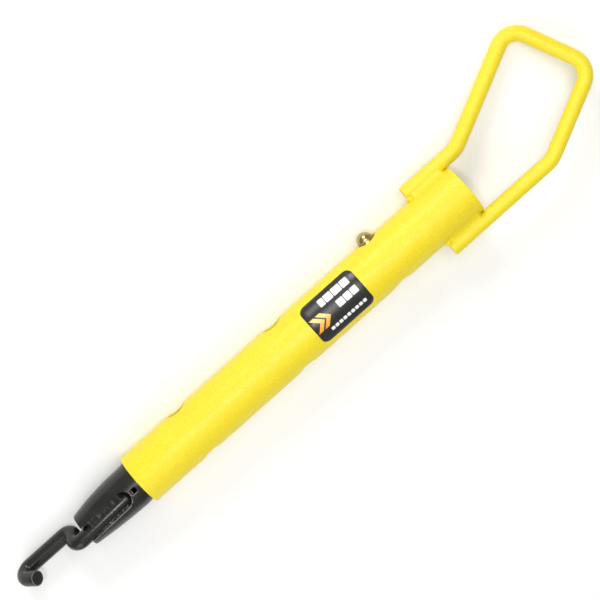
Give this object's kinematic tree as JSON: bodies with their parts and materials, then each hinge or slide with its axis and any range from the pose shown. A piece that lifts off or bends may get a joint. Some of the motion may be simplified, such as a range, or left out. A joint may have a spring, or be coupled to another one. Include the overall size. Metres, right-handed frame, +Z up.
{
  "type": "telescoping hook puller",
  "caption": "Hand-held pull hook with a telescoping slider, a spring button that latches it and a bent-rod bail handle",
  "frame": {"origin": "middle of the box on the surface that the tool lies on", "axes": "+X along the tube towards the handle, +Y towards the button's side, +Z up from the surface"},
  "size_m": [0.4368, 0.0764, 0.0319],
  "materials": {
    "yellow_powder_coat": "fine-textured powder coat",
    "black_paint": "semi-gloss",
    "label_vinyl": "printed gloss vinyl",
    "brass": "turned and polished",
    "spring_steel": "blued strip"
  },
  "bodies": {
    "tube": {"outer_tube": "yellow_powder_coat", "bail_handle": "yellow_powder_coat", "handle_weld_left": "yellow_powder_coat", "handle_weld_right": "yellow_powder_coat", "label": "label_vinyl"},
    "slider": {"slider_tube": "black_paint", "hook_rod": "black_paint", "hook_weld": "black_paint", "snap_spring": "spring_steel"},
    "button": {"snap_button": "brass"}
  },
  "joints": [
    {"name": "slider_slide", "type": "slide", "parent": "tube", "child": "slider", "axis": [-1, 0, 0], "range_m": [0, 0.144], "deforming": ["snap_button", "snap_spring"]},
    {"name": "button_press", "type": "slide", "parent": "slider", "child": "button", "axis": [0, -0.9892, 0.1467], "range_m": [0, 0.0079], "stiffness_N_per_m": 900, "deforming": ["snap_spring"]}
  ]
}
